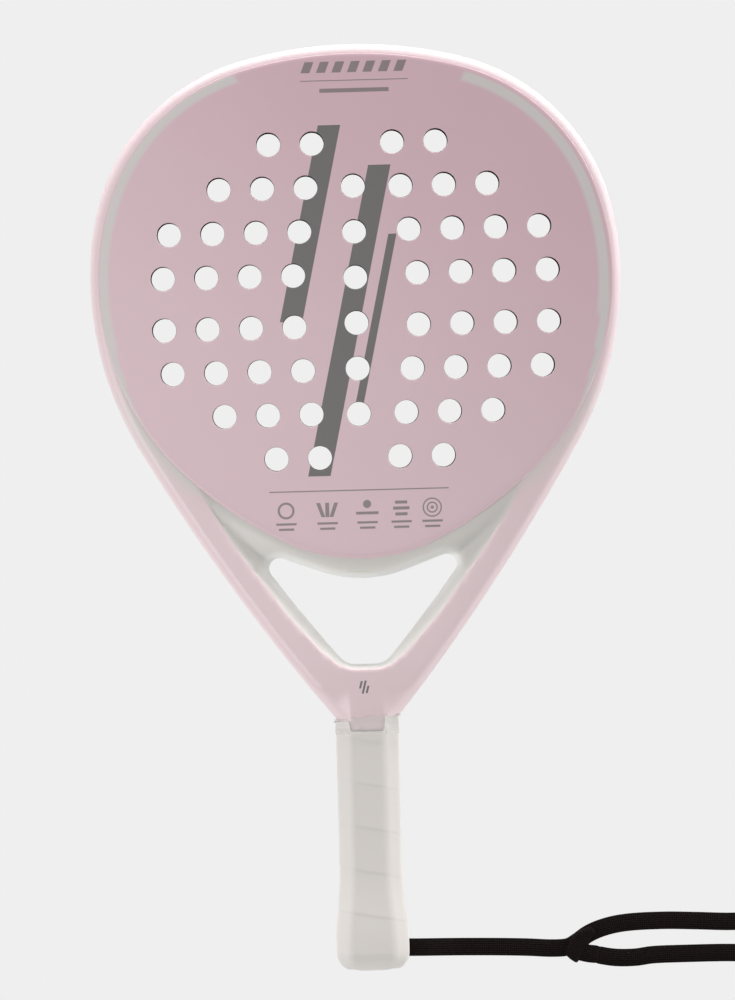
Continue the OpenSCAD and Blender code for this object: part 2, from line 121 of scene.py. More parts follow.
def make_studio():
    """A pale floor that glows evenly, a surround that is bright near the horizon, and three soft lamps."""
    mesh = bpy.data.meshes.new("floor")
    corners = [(x * FLOOR_HALF, y * FLOOR_HALF, FLOOR_Z) for x, y in ((-1, -1), (1, -1), (1, 1), (-1, 1))]
    mesh.from_pydata(corners, [], [(0, 1, 2, 3)])
    floor = add_object("floor", mesh)
    material, nodes, links = new_material("pale_floor")
    nodes.remove(nodes["Principled BSDF"])
    glow = nodes.new("ShaderNodeEmission")
    glow.inputs["Color"].default_value = (FLOOR_GLOW, FLOOR_GLOW, FLOOR_GLOW, 1)
    links.new(glow.outputs[0], nodes["Material Output"].inputs["Surface"])
    floor.data.materials.append(material)
    world = bpy.data.worlds.new("surround")
    world.use_nodes = True
    tree = world.node_tree
    direction = put(tree.nodes, "TexCoord")
    split = put(tree.nodes, "SeparateXYZ")
    tree.links.new(direction.outputs["Generated"], split.inputs[0])
    fall = put(tree.nodes, "MapRange", clamp=True)
    for socket, value in (("From Min", 0.0), ("From Max", 0.5), ("To Max", OVERHEAD_LIGHT)):
        fall.inputs[socket].default_value = value
    lean = calculate(tree, "MULTIPLY_ADD", split.outputs["Y"], 0.6 * HORIZON_LIGHT, HORIZON_LIGHT)
    lean = calculate(tree, "MULTIPLY_ADD", split.outputs["X"], 0.75 * HORIZON_LIGHT, lean)
    tree.links.new(lean, fall.inputs["To Min"])
    tree.links.new(split.outputs["Z"], fall.inputs["Value"])
    tree.links.new(fall.outputs["Result"], tree.nodes["Background"].inputs["Strength"])
    tree.nodes["Background"].inputs["Color"].default_value = (1, 1, 1, 1)
    bpy.context.scene.world = world
    bpy.context.scene.view_settings.view_transform = "Standard"
    softbox("head_lamp", (0.16, 1.2, 0.1), (0, 0.1, 0.02), (1.5, 0.2), 12)
    softbox("left_lamp", (-0.62, -0.32, 0.8), (-0.02, 0.02, 0), (0.8, 0.8), 6.8)
    softbox("right_lamp", (0.95, 0.3, 0.14), (0.05, 0.05, 0.03), (0.2, 0.7), 1.3)


# ---- plain geometry ------------------------------------------------------------------------------

def piece(name, points, faces, materials, replaced=(), normals=None):
    """A new piece from points in millimetres; it rides on the racket and stands for the replaced nodes."""
    mesh = bpy.data.meshes.new(name)
    mesh.from_pydata((np.asarray(points) * MM).tolist(), [], [tuple(int(i) for i in f) for f in faces])
    mesh.validate()
    obj = add_object(name, mesh)
    for material in materials:
        mesh.materials.append(material)
    mesh.shade_smooth()
    if normals is None:
        mesh.set_sharp_from_angle(angle=math.radians(38))
    else:
        mesh.normals_split_custom_set_from_vertices(normals.tolist())
    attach(obj, "root")
    if replaced:
        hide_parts(*replaced)
    return obj


def store(obj, name, values):
    """Keeps one value for each vertex, for the materials to read."""
    layer = obj.data.attributes.new(name, "FLOAT", "POINT")
    layer.data.foreach_set("value", np.asarray(values, np.float32))


def unit(rows):
    """The same directions with a length of one."""
    return rows / np.maximum(np.linalg.norm(rows, axis=1), 1e-12)[:, None]


def facing(points, faces):
    """Each point's normal, weighted by the size of its faces, so that small roundings stay crisp."""
    out = np.zeros((len(points), 3))
    for corners in (3, 4):
        group = np.array([f for f in faces if len(f) == corners])
        if not len(group):
            continue
        a, b, c = points[group[:, 0]], points[group[:, 1]], points[group[:, 2]]
        across = np.cross(b - a, c - a) if corners == 3 else np.cross(c - a, points[group[:, 3]] - b)
        for k in range(corners):
            np.add.at(out, group[:, k], across)
    return unit(out)


def smooth(low, high, x):
    t = np.clip((np.asarray(x, float) - low) / (high - low), 0, 1)
    return t * t * (3 - 2 * t)


def mix(a, b, t):
    return a + (b - a) * np.clip(t, 0, 1)


def closed(loop):
    return np.vstack([loop, loop[:1]])


def mirrored(right):
    """A line that ends on the axis, with its mirror image."""
    return np.vstack([right, right[::-1][1:] * (-1, 1)])


def segments(loops):
    return np.vstack(loops), np.vstack([np.roll(loop, -1, axis=0) for loop in loops])


def distance(points, lines, closed=True):
    """How far each point is from the nearest of some polylines."""
    if closed:
        a, b = segments(lines)
    else:
        a, b = np.vstack([line[:-1] for line in lines]), np.vstack([line[1:] for line in lines])
    d = b - a
    length2 = np.maximum((d * d).sum(1), 1e-12)
    out = np.empty(len(points))
    for start in range(0, len(points), 2000):
        p = points[start:start + 2000, None, :]
        t = np.clip(((p - a) * d).sum(2) / length2, 0, 1)
        gap = p - (a + t[..., None] * d)
        out[start:start + 2000] = np.sqrt((gap * gap).sum(2).min(1))
    return out


def inside(points, loop):
    """Which points lie inside a closed polyline."""
    a, b = segments([loop])
    out = np.zeros(len(points), bool)
    for start in range(0, len(points), 2000):
        x, y = points[start:start + 2000, 0, None], points[start:start + 2000, 1, None]
        spans = (a[:, 1] > y) != (b[:, 1] > y)
        rise = np.where(b[:, 1] == a[:, 1], 1e-12, b[:, 1] - a[:, 1])
        left = x < (b[:, 0] - a[:, 0]) * (y - a[:, 1]) / rise + a[:, 0]
        out[start:start + 2000] = (spans & left).sum(1) % 2 == 1
    return out


def moved_in(loop, gap):
    """A closed polyline moved to its own inside by "gap"."""
    ahead, behind = np.roll(loop, -1, axis=0), np.roll(loop, 1, axis=0)
    run = ahead - behind
    normal = unit(np.stack([-run[:, 1], run[:, 0]], 1))
    area = (loop[:, 0] * ahead[:, 1] - loop[:, 1] * ahead[:, 0]).sum()
    return loop + normal * (gap if area > 0 else -gap)


def plan(outer, holes, outer_rings, hole_rings, grid, lines=(), grid_gap=0):
    """Cuts a flat region with holes into triangles, with close rows of points along its edges.
    Returns the points and the triangles, which turn to the left."""
    loops = [outer, *holes]
    kept = []
    for loop, rings, side in [(outer, outer_rings, 1)] + [(hole, hole_rings, -1) for hole in holes]:
        for gap in rings:
            row = moved_in(loop, side * gap)
            kept.append(row[distance(row, loops) > gap * 0.97])
    low, high = outer.min(0), outer.max(0)
    columns = np.arange(low[0], high[0], grid)
    rows = np.arange(low[1], high[1], grid * math.sqrt(3) / 2)
    mesh_x, mesh_y = np.meshgrid(columns, rows)
    mesh_x = mesh_x + (np.arange(len(rows)) % 2 * grid / 2)[:, None]
    net = np.stack([mesh_x.ravel(), mesh_y.ravel()], 1)
    kept.append(net[distance(net, loops) > max(max(outer_rings), grid_gap) + grid / 2])
    free = np.vstack(kept)
    keep = inside(free, outer)
    for hole in holes:
        keep &= ~inside(free, hole)
    free = free[keep]
    if lines:
        free = free[distance(free, [np.asarray(line) for line in lines], closed=False) > 0.45]
    points, edges = [], []
    for loop in loops:
        start, n = len(points), len(loop)
        points += loop.tolist()
        edges += [(start + i, start + (i + 1) % n) for i in range(n)]
    for line in lines:
        start, n = len(points), len(line)
        points += np.asarray(line).tolist()
        edges += [(start + i, start + i + 1) for i in range(n - 1)]
    points += free.tolist()
    out, _, triangles, *_ = delaunay_2d_cdt([Vector(p) for p in points], edges, [], 0, 1e-5)
    out = np.array([tuple(p) for p in out])
    triangles = np.array([t for t in triangles if len(t) == 3])
    centre = out[triangles].mean(1)
    keep = inside(centre, outer)
    for hole in holes:
        keep &= ~inside(centre, hole)
    triangles = triangles[keep]
    a, b, c = (out[triangles[:, i]] for i in range(3))
    turn = (b[:, 0] - a[:, 0]) * (c[:, 1] - a[:, 1]) - (b[:, 1] - a[:, 1]) * (c[:, 0] - a[:, 0])
    triangles = triangles[np.abs(turn) > 1e-9]
    turn = turn[np.abs(turn) > 1e-9]
    triangles[turn < 0] = triangles[turn < 0][:, ::-1]
    return out, triangles


def slab(points, triangles, top, bottom, rows=1):
    """A closed solid over a plan, between two sheets of given heights, with walls of so many rows along its
    edges. Also returns each vertex's plan point."""
    used, index = np.unique(triangles, return_inverse=True)
    triangles = index.reshape(triangles.shape)
    flat, top, bottom = points[used], top[used], bottom[used]
    n = len(used)
    directed = np.vstack([triangles[:, [0, 1]], triangles[:, [1, 2]], triangles[:, [2, 0]]])
    seen = {(int(a), int(b)) for a, b in directed}
    rim = [(a, b) for a, b in seen if (b, a) not in seen]
    vertices = [np.column_stack([flat, top]), np.column_stack([flat, bottom])]
    origin = [np.arange(n), np.arange(n)]
    faces = triangles.tolist() + (triangles[:, ::-1] + n).tolist()
    on_rim = sorted({a for a, _ in rim})
    place = {a: k for k, a in enumerate(on_rim)}
    levels = [np.array(on_rim)]
    for row in range(1, rows):
        vertices.append(np.column_stack([flat[on_rim], mix(top[on_rim], bottom[on_rim], row / rows)]))
        levels.append(2 * n + (row - 1) * len(on_rim) + np.arange(len(on_rim)))
        origin.append(np.array(on_rim))
    levels.append(np.array(on_rim) + n)
    for upper, lower in zip(levels, levels[1:]):
        faces += [(upper[place[b]], upper[place[a]], lower[place[a]], lower[place[b]]) for a, b in rim]
    return np.vstack(vertices), faces, used[np.concatenate(origin)]


# ---- the racket's outlines -----------------------------------------------------------------------
# A pose is (x, y, heading): a heading of 0 runs along +X and turns clockwise as it grows.

def turned(pose, radius, angle):
    x, y, heading = pose
    a, b = math.radians(heading), math.radians(heading + angle)
    return x + radius * (math.sin(b) - math.sin(a)), y + radius * (math.cos(b) - math.cos(a)), heading + angle


def arc_run(pose, arcs, step):
    """Poses along tangent arcs, given as (radius, angle), about "step" apart."""
    run = [pose]
    for radius, angle in arcs:
        n = max(3, round(abs(math.radians(angle) * radius) / step))
        start = run[-1]
        run += [turned(start, radius, angle * k / n) for k in range(1, n + 1)]
    return run


def both_sides(right):
    """A right half that starts and ends on the axis, with its mirror image."""
    right = np.asarray(right)[:, :2]
    left = right[::-1] * (-1, 1)
    starts_on_axis, ends_on_axis = abs(right[0][0]) < 1e-6, abs(right[-1][0]) < 1e-6
    loop = np.vstack([right, left[1:] if ends_on_axis else left])
    return loop[:-1] if starts_on_axis else loop


def curve_through(points, step):
    """A smooth line through a few points, with a point about every "step"."""
    p = np.asarray(points, float)
    p = np.vstack([2 * p[0] - p[1], p, 2 * p[-1] - p[-2]])
    out = []
    for i in range(1, len(p) - 2):
        n = max(1, int(round(np.linalg.norm(p[i + 1] - p[i]) / step)))
        for k in range(n):
            t = k / n
            out.append(0.5 * (2 * p[i] + (p[i + 1] - p[i - 1]) * t
                              + (2 * p[i - 1] - 5 * p[i] + 4 * p[i + 1] - p[i + 2]) * t ** 2
                              + (3 * p[i] - p[i - 1] - 3 * p[i + 1] + p[i + 2]) * t ** 3))
    out.append(p[-2])
    return np.array(out)


TIP_R, TIP_TURN = 207, 15.5
SHOULDER_R, SHOULDER_TURN = 100.6, 60
SIDE_R, SIDE_TURN = 128, 10.3
FLANK_R, FLANK_TURN = 165, 34.4
ARM_R = 1047
NECK_R = 12
NECK_Y = -110.33
RIM_R = 5
RIM_W = 4.5
STEP = 1.6


def outer_outline():
    """The frame's outline: head, arms, and the two legs that run down inside the handle."""
    run = arc_run((0, TIP_Y, 0), [(TIP_R, TIP_TURN), (SHOULDER_R, SHOULDER_TURN), (SIDE_R, SIDE_TURN),
                                  (FLANK_R, FLANK_TURN)], STEP)
    x, _, heading = run[-1]
    reach = HANDLE_A - x + ARM_R * math.sin(math.radians(heading)) + NECK_R
    arm_heading = 180 - math.degrees(math.asin(reach / (ARM_R + NECK_R)))
    run += arc_run(run[-1], [(ARM_R, arm_heading - heading), (-NECK_R, 90 - arm_heading)], STEP)[1:]
    right = [p[:2] for p in run]
    neck_y = right[-1][1]
    leg = [(HANDLE_A, y) for y in np.arange(neck_y - 2, LEG_END_Y, -4)] + [(HANDLE_A, LEG_END_Y)]
    fork = [(7.2, LEG_END_Y), (1.5, LEG_END_Y)] + [(1.5, y) for y in np.arange(LEG_END_Y + 4, neck_y - 4, 4)]
    return both_sides(right + leg + fork + [(0, neck_y - 3)])


def face_outline(lap=0.0):
    """The edge of a face, or a line that lies inside it by "lap"."""
    run = arc_run((0, TIP_Y - RIM_W - lap, 0),
                  [(TIP_R - RIM_W - lap, TIP_TURN), (SHOULDER_R - RIM_W - lap, SHOULDER_TURN - 4.3),
                   (130 - lap, 65.4), (201 - lap, 16.7)], STEP)
    x, _, heading = run[-1]
    run += arc_run(run[-1], [(x / math.sin(math.radians(heading)), 180 - heading)], STEP)[1:]
    return both_sides(run)


def throat_outline():
    """The throat's opening: a bowed upper edge, two tight corners, straight sides and a short foot."""
    slope, corner_r, bow_r = math.radians(20), 5, 60
    corner = np.array([41.06, -28.8])
    touch = corner + corner_r * np.array([-math.sin(slope), math.cos(slope)])
    bow_y = touch[1] + bow_r * math.cos(slope) - (touch[0] - bow_r * math.sin(slope)) * math.tan(slope)
    bow = [(bow_r * math.sin(slope * k / 12), bow_y - bow_r * math.cos(slope * k / 12)) for k in range(13)]
    line = [tuple(np.array(bow[-1]) + (touch - bow[-1]) * t) for t in np.linspace(0, 1, 14)[1:-1]]
    turn = [tuple(corner + corner_r * np.array([math.cos(a), math.sin(a)]))
            for a in np.radians(np.linspace(110, -34, 15))]
    side = curve_through([turn[-1], (35.4, -44.9), (24.4, -58.9), (13.4, -72.4)], STEP).tolist()
    foot = curve_through([side[-1], (10.6, -75.2), (7.4, -76.7), (3.6, -77), (0, -77)], 1.0).tolist()
    return both_sides(bow + line + turn + side[1:] + foot[1:])


def crease_line():
    """Right half of the line where the arms' lacquer ends, from the yoke's horn to the throat's foot."""
    return curve_through([(80.6, 16), (77.8, 8.7), (72.2, -2), (64.6, -14.2), (55.6, -27), (47.2, -38.2),
                          (38.6, -50), (28.4, -62), (17.4, -73.2), (10.6, -77.6), (4.8, -78.7),
                          (0, -78.9)], STEP)


OUTER = outer_outline()
FACE = face_outline()
FACE_LAP = face_outline(9.9)
THROAT = throat_outline()
CREASE = crease_line()
CREASE_LOOP = mirrored(CREASE)

# ---- heights of the lacquered body ---------------------------------------------------------------

TUBE_H = 17.8
NECK_H = 14.9
LEG_H = 10.5
RIDGE_X = 8.3
RIDGE_TOP_Y = -88.6
NECK_TOP_Y = -78.8
LAND_Z = TOP_Z - 1.22
RIM_Z = 37.15
RIM_RISE = 0.5
# How softly the strip beside the face turns into the throat's lining.
HOLLOW_SOFT = 2.2


def half_depth(y):
    """Half of the frame's depth: full in the head, less at the neck, least in the handle."""
    neck = mix(NECK_H, TUBE_H, smooth(GRIP_TOP_Y - 4, NECK_TOP_Y + 4, y))
    return np.where(y > GRIP_TOP_Y, neck, mix(LEG_H, NECK_H, (y - GRIP_TOP_Y + 2) / 2))


def rounded(d, radius, drop):
    """How far a rounded edge has fallen at a distance d from its wall."""
    t = np.clip(1 - d / radius, 0, 1)
    return drop * (1 - np.sqrt(1 - t * t))


def body_heights(points):
    """Height of the lacquered body's front over its plan, with what its lacquer needs to know."""
    x, y = np.abs(points[:, 0]), points[:, 1]
    d_out = distance(points, [OUTER])
    d_face = distance(points, [FACE]) * np.where(inside(points, FACE), -1, 1)
    d_throat = distance(points, [THROAT])
    in_grey = inside(points, CREASE_LOOP)
    d_crease = distance(points, [CREASE, CREASE * (-1, 1)], closed=False) * np.where(in_grey, 1, -1)
    ridge = np.clip((RIDGE_TOP_Y - y) / (RIDGE_TOP_Y - GRIP_TOP_Y), 0, 1)
    facet = 0.95 * ridge * (np.sqrt((x - RIDGE_X) ** 2 + 0.3) + x - RIDGE_X) / 2
    full = MID_Z + half_depth(y) + (RIM_Z - MID_Z - TUBE_H) * smooth(NECK_TOP_Y - 10, NECK_TOP_Y + 20, y)
    full = full + RIM_RISE * smooth(MIDDLE_Y - 60, MIDDLE_Y + 20, y)
    arm = smooth(60, 10, y)
    pink = full - facet - 0.5 * arm * smooth(5, 0, d_out) - rounded(d_out, RIM_R, RIM_R)
    strip = full - 0.15 - 0.042 * np.maximum(d_face, 0) ** 2
    lining = full - 0.75 - 0.3 * np.maximum(d_crease, 0) - 0.035 * np.maximum(d_crease, 0) ** 2
    grey = (strip + lining + np.sqrt((strip - lining) ** 2 + HOLLOW_SOFT ** 2) - HOLLOW_SOFT) / 2
    z = mix(pink, grey, smooth(-0.35, 0.5, d_crease))
    z = z - rounded(d_throat, mix(2.6, 4.6, smooth(-78, -66, y)), 8.5) * smooth(60, 0, y)
    z = mix(z, LAND_Z, smooth(-0.4, -0.55, d_face))
    return z, d_face, in_grey


# ---- materials -----------------------------------------------------------------------------------

def new_material(name):
    material = bpy.data.materials.new(name)
    material.use_nodes = True
    return material, material.node_tree.nodes, material.node_tree.links


def put(nodes, kind, **values):
    node = nodes.new("ShaderNode" + kind)
    for key, value in values.items():
        setattr(node, key, value)
    return node


def feed(links, source, target):
    """Sets a socket to a plain value or links it to an output."""
    if isinstance(source, bpy.types.NodeSocket):
        links.new(source, target)
    elif source is not None:
        target.default_value = source


def calculate(tree, operation, a, b=None, c=None, clamp=False):
    node = put(tree.nodes, "Math", operation=operation, use_clamp=clamp)
    for socket, value in zip(node.inputs, (a, b, c)):
        feed(tree.links, value, socket)
    return node.outputs[0]


def blend_colours(tree, share, a, b):
    node = put(tree.nodes, "Mix", data_type="RGBA")
    feed(tree.links, share, node.inputs[0])
    feed(tree.links, a, node.inputs[6])
    feed(tree.links, b, node.inputs[7])
    return node.outputs[2]


def effect(name, inputs, outputs):
    """An empty shader node group with named sockets; returns the group and its two ends."""
    group = bpy.data.node_groups.new(name, "ShaderNodeTree")
    kinds = {"value": "NodeSocketFloat", "colour": "NodeSocketColor", "vector": "NodeSocketVector"}
    for side, sockets in (("INPUT", inputs), ("OUTPUT", outputs)):
        for label, kind in sockets.items():
            group.interface.new_socket(name=label, in_out=side, socket_type=kinds[kind])
    return group, group.nodes.new("NodeGroupInput"), group.nodes.new("NodeGroupOutput")


def use(tree, group, **values):
    """Places a group in a material with its own values."""
    node = tree.nodes.new("ShaderNodeGroup")
    node.node_tree = group
    for label, value in values.items():
        feed(tree.links, value, node.inputs[label.replace("_", " ")])
    return node


def rgb(red, green, blue):
    """A colour given as it is seen, from 0 to 255, as the shader's linear values."""
    linear = [((v / 255 + 0.055) / 1.055) ** 2.4 if v > 10 else v / 3294.6 for v in (red, green, blue)]
    return (*linear, 1.0)


def grain_effect():
    """Fine unevenness: a height, a roughness and a colour that wander a little over the surface."""
    group, start, end = effect("fine_grain", {"Place": "vector", "Size": "value", "Colour": "colour",
                                              "Roughness": "value", "Drift": "value"},
                               {"Colour": "colour", "Roughness": "value", "Height": "value"})
    fine = put(group.nodes, "TexNoise")
    fine.inputs["Detail"].default_value = 3
    group.links.new(start.outputs["Place"], fine.inputs["Vector"])
    group.links.new(start.outputs["Size"], fine.inputs["Scale"])
    broad = put(group.nodes, "TexNoise")
    broad.inputs["Scale"].default_value = 14
    broad.inputs["Detail"].default_value = 2
    group.links.new(start.outputs["Place"], broad.inputs["Vector"])
    span = start.outputs["Drift"]
    fine_span = calculate(group, "MULTIPLY", span, 0.6)
    drift = calculate(group, "MULTIPLY_ADD", broad.outputs["Fac"], span,
                      calculate(group, "MULTIPLY_ADD", span, -0.5, 1.0))
    speck = calculate(group, "MULTIPLY_ADD", fine.outputs["Fac"], fine_span,
                      calculate(group, "MULTIPLY_ADD", span, -0.3, 1.0))
    tone = put(group.nodes, "VectorMath", operation="SCALE")
    group.links.new(start.outputs["Colour"], tone.inputs[0])
    group.links.new(calculate(group, "MULTIPLY", drift, speck), tone.inputs["Scale"])
    rough = calculate(group, "MULTIPLY_ADD", calculate(group, "SUBTRACT", broad.outputs["Fac"], 0.5), 0.05,
                      start.outputs["Roughness"], clamp=True)
    group.links.new(tone.outputs["Vector"], end.inputs["Colour"])
    group.links.new(rough, end.inputs["Roughness"])
    group.links.new(fine.outputs["Fac"], end.inputs["Height"])
    return group


def print_start(name, sizes):
    """A group that will put out 1 inside a printed shape and 0 outside, and the place from its middle."""
    values = dict.fromkeys(["X", "Y", *sizes], "value")
    group, start, end = effect(name, {"Place": "vector", **values}, {"Mask": "value"})
    split = put(group.nodes, "SeparateXYZ")
    group.links.new(start.outputs["Place"], split.inputs[0])
    across, up = (calculate(group, "SUBTRACT", split.outputs[k], start.outputs[k]) for k in ("X", "Y"))
    return group, start, end, across, up


def room_inside(group, size, off):
    """How far a place lies inside a shape of the given width, when it is "off" from the shape's middle."""
    away = calculate(group, "MULTIPLY", calculate(group, "ABSOLUTE", off), -1.0)
    return calculate(group, "MULTIPLY_ADD", size, 0.5, away)


def print_end(group, room, end):
    mask = calculate(group, "MULTIPLY_ADD", room, 8.0, 0.5, clamp=True)
    group.links.new(mask, end.inputs["Mask"])
    return group


def bar_effect():
    """A printed bar, which leans by "Lean" sideways for each unit of height."""
    group, start, end, across, up = print_start("printed_bar", ("Width", "Height", "Lean"))
    across = calculate(group, "SUBTRACT", across, calculate(group, "MULTIPLY", up, start.outputs["Lean"]))
    room_x = room_inside(group, start.outputs["Width"], across)
    room_y = room_inside(group, start.outputs["Height"], up)
    return print_end(group, calculate(group, "MINIMUM", room_x, room_y), end)


def ring_effect():
    """A printed ring, whose line is "Width" wide."""
    group, start, end, across, up = print_start("printed_ring", ("Radius", "Width"))
    squares = calculate(group, "MULTIPLY_ADD", across, across, calculate(group, "MULTIPLY", up, up))
    reach = calculate(group, "SQRT", squares)
    off = calculate(group, "SUBTRACT", reach, start.outputs["Radius"])
    return print_end(group, room_inside(group, start.outputs["Width"], off), end)


def braid_effect():
    """The cord's knitted surface: ribs along it, crossed by slanting stitches, both in millimetres."""
    group, start, end = effect("knitted_braid", {"Run": "value", "Across": "value"},
                               {"Height": "value", "Shade": "value"})
    rib = calculate(group, "FRACT", calculate(group, "MULTIPLY", start.outputs["Across"], 1 / 1.1))
    rise = calculate(group, "ABSOLUTE", calculate(group, "SUBTRACT", rib, 0.5))
    phase = calculate(group, "MULTIPLY_ADD", start.outputs["Run"], 1 / 1.05, rise)
    wave = calculate(group, "SINE", calculate(group, "MULTIPLY", phase, math.pi))
    stitch = calculate(group, "POWER", calculate(group, "ABSOLUTE", wave), 0.6)
    edge = calculate(group, "POWER", calculate(group, "MULTIPLY", rise, 2.0), 3.0)
    height = calculate(group, "MULTIPLY", stitch, calculate(group, "SUBTRACT", 1.0, edge))
    group.links.new(height, end.inputs["Height"])
    # Lighter on the stitches' tops and darker between them: painted highlight and painted shade.
    group.links.new(calculate(group, "MULTIPLY_ADD", height, 1.15, -0.1, clamp=True), end.inputs["Shade"])
    return group


GRAIN = grain_effect()
BAR = bar_effect()
RING = ring_effect()
BRAID = braid_effect()


def place_mm(tree):
    """The point on the surface in millimetres, in the racket's own axes."""
    spot = put(tree.nodes, "TexCoord")
    scale = put(tree.nodes, "VectorMath", operation="SCALE")
    tree.links.new(spot.outputs["Object"], scale.inputs[0])
    scale.inputs["Scale"].default_value = 1 / MM
    return scale.outputs["Vector"]


def place_m(tree):
    return put(tree.nodes, "TexCoord").outputs["Object"]


def finish_with(material, colour, roughness, height=None, bump=0.02, **fixed):
    """Joins a material's colour, roughness and bump to its shader and sets its fixed values."""
    tree = material.node_tree
    shader = tree.nodes["Principled BSDF"]
    feed(tree.links, colour, shader.inputs["Base Color"])
    feed(tree.links, roughness, shader.inputs["Roughness"])
    if height is not None:
        relief = put(tree.nodes, "Bump")
        relief.inputs["Distance"].default_value = bump * MM
        relief.inputs["Strength"].default_value = 1
        tree.links.new(height, relief.inputs["Height"])
        tree.links.new(relief.outputs["Normal"], shader.inputs["Normal"])
    for label, value in fixed.items():
        shader.inputs[label.replace("_", " ")].default_value = value
    return material


def grain_coat(material, colour, roughness, size, bump, drift, **fixed):
    """Ends a material with fine grain: "size" is how many grains fit in a metre."""
    tree = material.node_tree
    grain = use(tree, GRAIN, Place=place_m(tree), Size=size, Colour=colour, Roughness=roughness, Drift=drift)
    colour, roughness, height = (grain.outputs[k] for k in ("Colour", "Roughness", "Height"))
    return finish_with(material, colour, roughness, height, bump, **fixed)


def grained(name, colour, roughness, size, bump, drift=0.06, **fixed):
    """A plain finish with fine grain."""
    return grain_coat(new_material(name)[0], colour, roughness, size, bump, drift, **fixed)


def attribute(tree, name):
    return put(tree.nodes, "Attribute", attribute_name=name).outputs["Fac"]


def largest(tree, masks):
    total = masks[0]
    for mask in masks[1:]:
        total = calculate(tree, "MAXIMUM", total, mask)
    return total


FRAME_PINK = rgb(237, 215, 219)
FRAME_GREY = rgb(226, 223, 218)
# Painted highlight: the colour of the throat's edge where it catches light from below.
HIGHLIGHT_WHITE = rgb(246, 246, 243)
FACE_PINK = rgb(228, 201, 208)
# Painted shade: the face's pink where it gets less light.
FACE_PINK_SHADED = rgb(224, 190, 200)
STRIPE_GREY = rgb(221, 215, 213)
PRINT_GREY = rgb(122, 119, 119)


def frame_lacquer():
    """Pale pink satin lacquer, greyer beside the face's lower edge, with a small plain mark."""
    material, _, _ = new_material("pink_frame_lacquer")
    tree = material.node_tree
    where = place_mm(tree)
    bars = [use(tree, BAR, Place=where, X=x, Y=-88.0 + y, Width=1.0, Height=h, Lean=0.25).outputs["Mask"]
            for x, y, h in ((-2.6, 1.2, 3.6), (-1.0, 0.0, 6.4), (0.6, -1.2, 3.6))]
    base = blend_colours(tree, attribute(tree, "fade"), FRAME_PINK, FRAME_GREY)
    base = blend_colours(tree, largest(tree, bars), base, PRINT_GREY)
    return grain_coat(material, base, 0.4, 2600.0, 0.008, 0.025, Coat_Weight=0.25, Coat_Roughness=0.2)


def grey_lacquer():
    """Pale grey satin lacquer, lighter towards the throat's edge: a painted highlight there for the light
    that the rounded edge catches from below.
    """
    material, _, _ = new_material("grey_yoke_lacquer")
    tree = material.node_tree
    base = blend_colours(tree, attribute(tree, "painted_highlight"), FRAME_GREY, HIGHLIGHT_WHITE)
    return grain_coat(material, base, 0.42, 2600.0, 0.008, 0.02, Coat_Weight=0.2, Coat_Roughness=0.25)


BIG_BARS = [(-21.5, 140, 11, 96, 0.22), (-3.5, 92, 11, 152, 0.22), (9.5, 92, 4, 84, 0.22)]
ICON_Y = -0.6
ICON_X = (-37.0, -16.8, 2.8, 19.5, 34.7)


def printed_marks(tree, where):
    """Plain printed marks: leaning bars, rules, rhombs, and five simple signs with dashes under them."""
    def bar(x, y, width, height, lean=0):
        return use(tree, BAR, Place=where, X=x, Y=y, Width=width, Height=height, Lean=lean).outputs["Mask"]

    def ring(x, y, radius, width):
        return use(tree, RING, Place=where, X=x, Y=y, Radius=radius, Width=width).outputs["Mask"]

    big = largest(tree, [bar(*b) for b in BIG_BARS])
    small = [bar(1.8 + 7.6 * k, 216.4, 4.4, 5.4, 0.4) for k in range(-3, 4)]
    small += [bar(1.8, 209.8, 53, 0.45), bar(1.8, 204.9, 34, 2.0), bar(-1, 8.7, 88, 0.6)]
    one, two, three, four, five = ICON_X
    small += [ring(one, ICON_Y, 3.6, 1.1)]
    small += [bar(two + 3.2 * k, ICON_Y, 1.9, 7, 0.35 * k) for k in (-1, 0, 1)]
    small += [ring(three, ICON_Y + 2.4, 1.0, 2.0), bar(three, ICON_Y - 2, 11, 1.4)]
    small += [bar(four, ICON_Y + 2.9 * k, 8 - abs(k) * 2, 1.5) for k in (-1, 0, 1)]
    small += [ring(five, ICON_Y, 4.4, 0.7), ring(five, ICON_Y, 2.4, 0.7), ring(five, ICON_Y, 0.4, 0.8)]
    small += [bar(x, ICON_Y - 6.6 - 2.6 * row, 10 - 2.5 * row, 1.1) for x in ICON_X for row in (0, 1)]
    return big, largest(tree, small)


def face_lacquer(name, marked):
    """Dusty pink satin lacquer with a light grey stripe inside its edge and, on the front, printed marks."""
    material, _, _ = new_material(name)
    tree = material.node_tree
    where = place_mm(tree)
    # Deeper, darker pink towards the upper right: painted shade where the face gets less light.
    base = blend_colours(tree, attribute(tree, "tone"), FACE_PINK, FACE_PINK_SHADED)
    base = blend_colours(tree, attribute(tree, "stripe"), base, STRIPE_GREY)
    big, small = printed_marks(tree, where)
    ink = calculate(tree, "MAXIMUM", big, calculate(tree, "MULTIPLY", small, 0.8)) if marked else big
    base = blend_colours(tree, ink, base, PRINT_GREY)
    return grain_coat(material, base, 0.5, 1900.0, 0.012, 0.03, Coat_Weight=0.12, Coat_Roughness=0.3)


